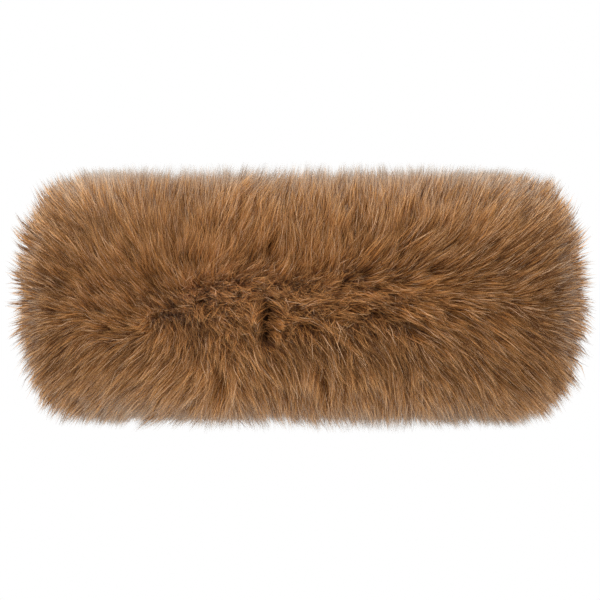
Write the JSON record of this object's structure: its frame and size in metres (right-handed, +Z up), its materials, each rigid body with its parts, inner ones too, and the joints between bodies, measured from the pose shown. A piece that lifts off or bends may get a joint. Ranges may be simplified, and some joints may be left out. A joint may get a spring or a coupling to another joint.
{
  "type": "fur head wrap",
  "caption": "Long-haired fur head wrap: a closed loop of fur on its own hide, open above and below, in the shape it has round a head.",
  "frame": {"origin": "centre of the head opening, halfway between the hide's upper and lower edges", "axes": "+Z up along the head, -Y towards the front, +X to the right as the front is looked at"},
  "size_m": [0.2521, 0.288, 0.1129],
  "materials": {
    "hide": "matt suede, the flesh side of the pelt",
    "fur": "dense long fur, dyed camel brown, darker at the roots and paler at the tips"
  },
  "bodies": {
    "root": {"hide_band": "hide", "fur_pile": "fur"}
  },
  "joints": []
}
